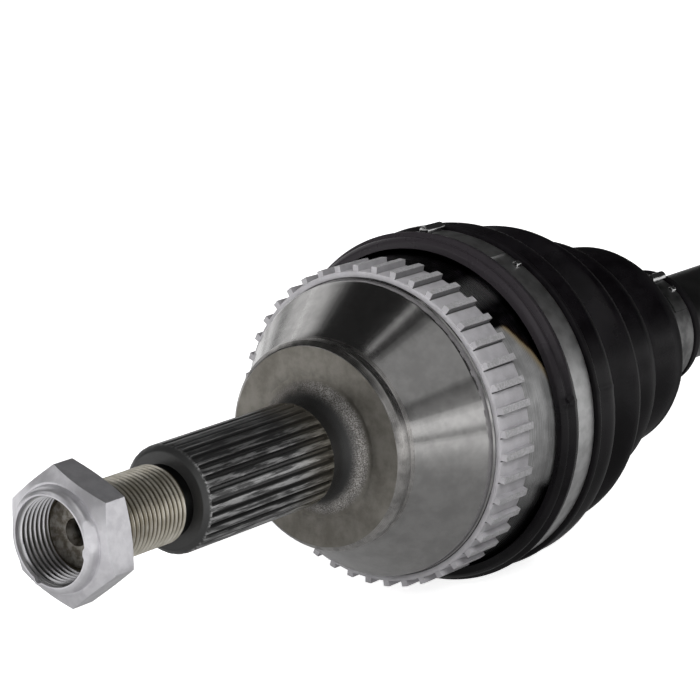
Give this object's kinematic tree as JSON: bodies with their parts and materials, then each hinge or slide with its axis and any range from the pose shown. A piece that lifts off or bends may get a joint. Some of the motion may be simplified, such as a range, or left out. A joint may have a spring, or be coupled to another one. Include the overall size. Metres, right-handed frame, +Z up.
{
  "type": "drive shaft",
  "caption": "Front drive shaft with a fixed ball joint, tone ring and nut at the wheel end, a plunging tripod joint at the gearbox end, bellows boots and band clamps.",
  "frame": {"origin": "on the shaft's axis, in the plane of the shoulder that seats on the wheel hub", "axes": "+X along the shaft towards the gearbox, +Z up, the first tripod lobe points along +Z"},
  "size_m": [0.6533, 0.0962, 0.0973],
  "materials": {
    "zinc": "satin zinc plating",
    "forged_steel": "turned and oiled steel",
    "cast_ring": "light grey, matte",
    "ground_steel": "ground and polished",
    "spring_steel": "blued",
    "boot_rubber": "satin black",
    "band_steel": "satin",
    "black_paint": "satin black paint",
    "nylon": "natural"
  },
  "bodies": {
    "shaft": {"bar_shaft": "black_paint", "outer_inner_race": "ground_steel", "outer_race_circlip": "spring_steel", "outer_small_clamp": "band_steel", "inner_small_clamp": "band_steel", "spider": "ground_steel", "spider_circlips": "spring_steel", "needle_rollers": "ground_steel", "roller_retainers": "spring_steel"},
    "outer_cage": {"outer_cage": "ground_steel", "outer_balls": "ground_steel", "outer_boot": "boot_rubber"},
    "outer_housing": {"outer_housing": "forged_steel", "tone_ring": "cast_ring", "outer_large_clamp": "band_steel"},
    "nut": {"axle_nut": "zinc"},
    "inner_boot": {"inner_boot": "boot_rubber"},
    "inner_housing": {"inner_housing": "forged_steel", "inner_large_clamp": "band_steel", "inner_boot_bushing": "nylon", "gearbox_circlip": "spring_steel"},
    "roller_a": {"roller_a": "ground_steel"},
    "roller_b": {"roller_b": "ground_steel"},
    "roller_c": {"roller_c": "ground_steel"}
  },
  "joints": [
    {"name": "outer_cage_tilt", "type": "hinge", "parent": "shaft", "child": "outer_cage", "pos_m": [0.044, 0, 0], "axis": [0, 1, 0], "range_deg": [-23, 23], "deforming": ["outer_boot"]},
    {"name": "outer_housing_tilt", "type": "hinge", "parent": "outer_cage", "child": "outer_housing", "pos_m": [0.044, 0, 0], "axis": [0, 1, 0], "range_deg": [-23, 23]},
    {"name": "nut_turn", "type": "hinge", "parent": "outer_housing", "child": "nut", "pos_m": [-0.0928, 0, 0], "axis": [1, 0, 0], "continuous": true},
    {"name": "inner_tilt", "type": "hinge", "parent": "shaft", "child": "inner_boot", "pos_m": [0.444, 0, 0], "axis": [0, 0, 1], "range_deg": [-20, 20], "deforming": ["inner_boot"]},
    {"name": "inner_plunge", "type": "slide", "parent": "inner_boot", "child": "inner_housing", "axis": [1, 0, 0], "range_m": [-0.015, 0.015]},
    {"name": "roller_a_spin", "type": "hinge", "parent": "shaft", "child": "roller_a", "pos_m": [0.444, 0, 0.022], "axis": [0, 0, 1], "continuous": true},
    {"name": "roller_b_spin", "type": "hinge", "parent": "shaft", "child": "roller_b", "pos_m": [0.444, -0.01905, -0.011], "axis": [0, -0.866, -0.5], "continuous": true},
    {"name": "roller_c_spin", "type": "hinge", "parent": "shaft", "child": "roller_c", "pos_m": [0.444, 0.01905, -0.011], "axis": [0, 0.866, -0.5], "continuous": true}
  ],
  "couplings": [
    {"joint": "outer_housing_tilt", "follows": "outer_cage_tilt", "ratio": 1}
  ]
}
